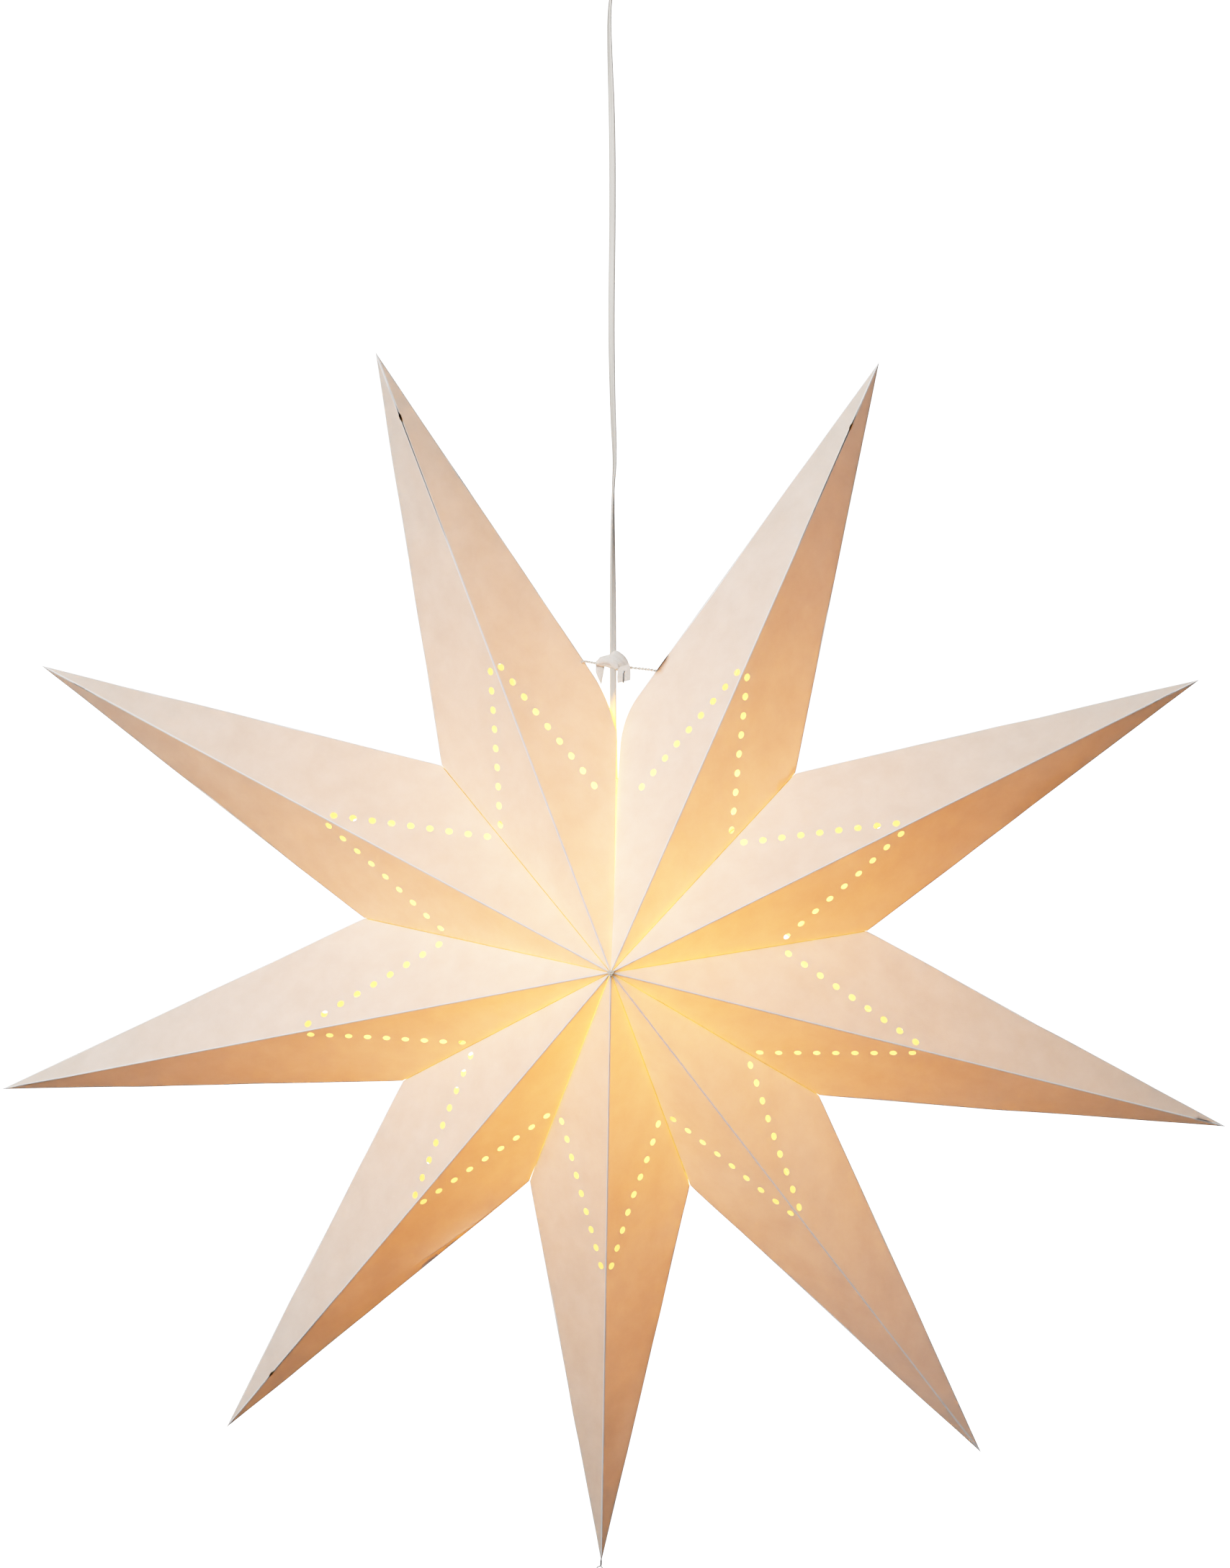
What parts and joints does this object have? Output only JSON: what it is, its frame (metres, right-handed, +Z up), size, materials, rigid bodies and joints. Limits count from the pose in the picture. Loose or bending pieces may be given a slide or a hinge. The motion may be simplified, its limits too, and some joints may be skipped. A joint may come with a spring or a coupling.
{
  "type": "paper star pendant lamp",
  "caption": "Large folded paper star lantern with punched dots, hung on a twin flex from a ceiling cup, with a lampholder and bulb inside.",
  "frame": {"origin": "centre of the hanging eye that a ceiling hook takes, inside the ceiling cup", "axes": "+Z up along the hanging flex; the star's flat front faces -Y, +X is the right of someone who looks at the front; the eye's bore runs along Y"},
  "size_m": [0.967, 0.207, 1.3333],
  "materials": {
    "paper": "matte folded paper, lit through from inside",
    "white_thread": "twisted thread",
    "dark_thread": "twisted thread",
    "cotton_tape": "woven cotton tape",
    "steel": "plain",
    "frosted_glass": "frosted",
    "clear_glass": "clear",
    "brass": "plain",
    "dark_insulator": "gloss",
    "white_thermoplastic": "satin moulding",
    "white_ceramic": "glazed",
    "lead_insulation": "satin",
    "white_flex": "satin flexible sheath",
    "white_nylon": "satin moulding",
    "cup_plastic": "gloss moulding"
  },
  "bodies": {
    "hanger": {"cord_grip": "white_nylon", "grip_saddle": "white_nylon", "saddle_screws": "steel", "terminal_block": "white_nylon", "terminal_screws": "brass", "lamp_leads": "lead_insulation", "cord_stub": "white_flex"},
    "flex": {"power_cord": "white_flex", "holder_skirt": "white_thermoplastic", "holder_dome": "white_thermoplastic", "holder_insert": "white_ceramic", "thread_shell": "brass", "centre_contact": "brass", "wire_screws": "steel", "holder_leads": "lead_insulation", "cord_gland": "white_thermoplastic"},
    "cup": {"ceiling_cup": "cup_plastic"},
    "bulb": {"bulb_globe": "frosted_glass", "bulb_cap": "brass", "cap_insulator": "dark_insulator", "cap_contact": "brass", "filament_stem": "clear_glass", "filament": "steel"},
    "tie": {"tie_band": "cotton_tape", "tie_tail": "cotton_tape", "tie_loop": "cotton_tape", "tie_staple": "steel", "strand_left": "cotton_tape", "strand_right": "cotton_tape"},
    "star": {"point_1": "paper", "point_2": "paper", "point_3": "paper", "point_4": "paper", "point_5": "paper", "point_6": "paper", "point_7": "paper", "point_8": "paper", "point_9": "paper", "front_knot": "white_thread", "back_knot": "white_thread", "tip_thread": "dark_thread"}
  },
  "joints": [
    {"name": "pendant_swing", "type": "hinge", "parent": "hanger", "child": "flex", "pos_m": [0, 0, -0.0355], "axis": [0, 1, 0], "range_deg": [-8, 8]},
    {"name": "cup_slide", "type": "slide", "parent": "flex", "child": "cup", "axis": [0, 0, -1], "range_m": [0, 0.08]},
    {"name": "star_turn", "type": "hinge", "parent": "flex", "child": "tie", "pos_m": [0, 0, -0.577], "axis": [0, 0, 1], "range_deg": [-90, 90]},
    {"name": "star_rock", "type": "hinge", "parent": "tie", "child": "star", "pos_m": [0, 0, -0.577], "axis": [1, 0, 0], "range_deg": [-3, 3]},
    {"name": "bulb_unscrew", "type": "slide", "parent": "flex", "child": "bulb", "axis": [0, 0, -1], "range_m": [0, 0.03]}
  ]
}
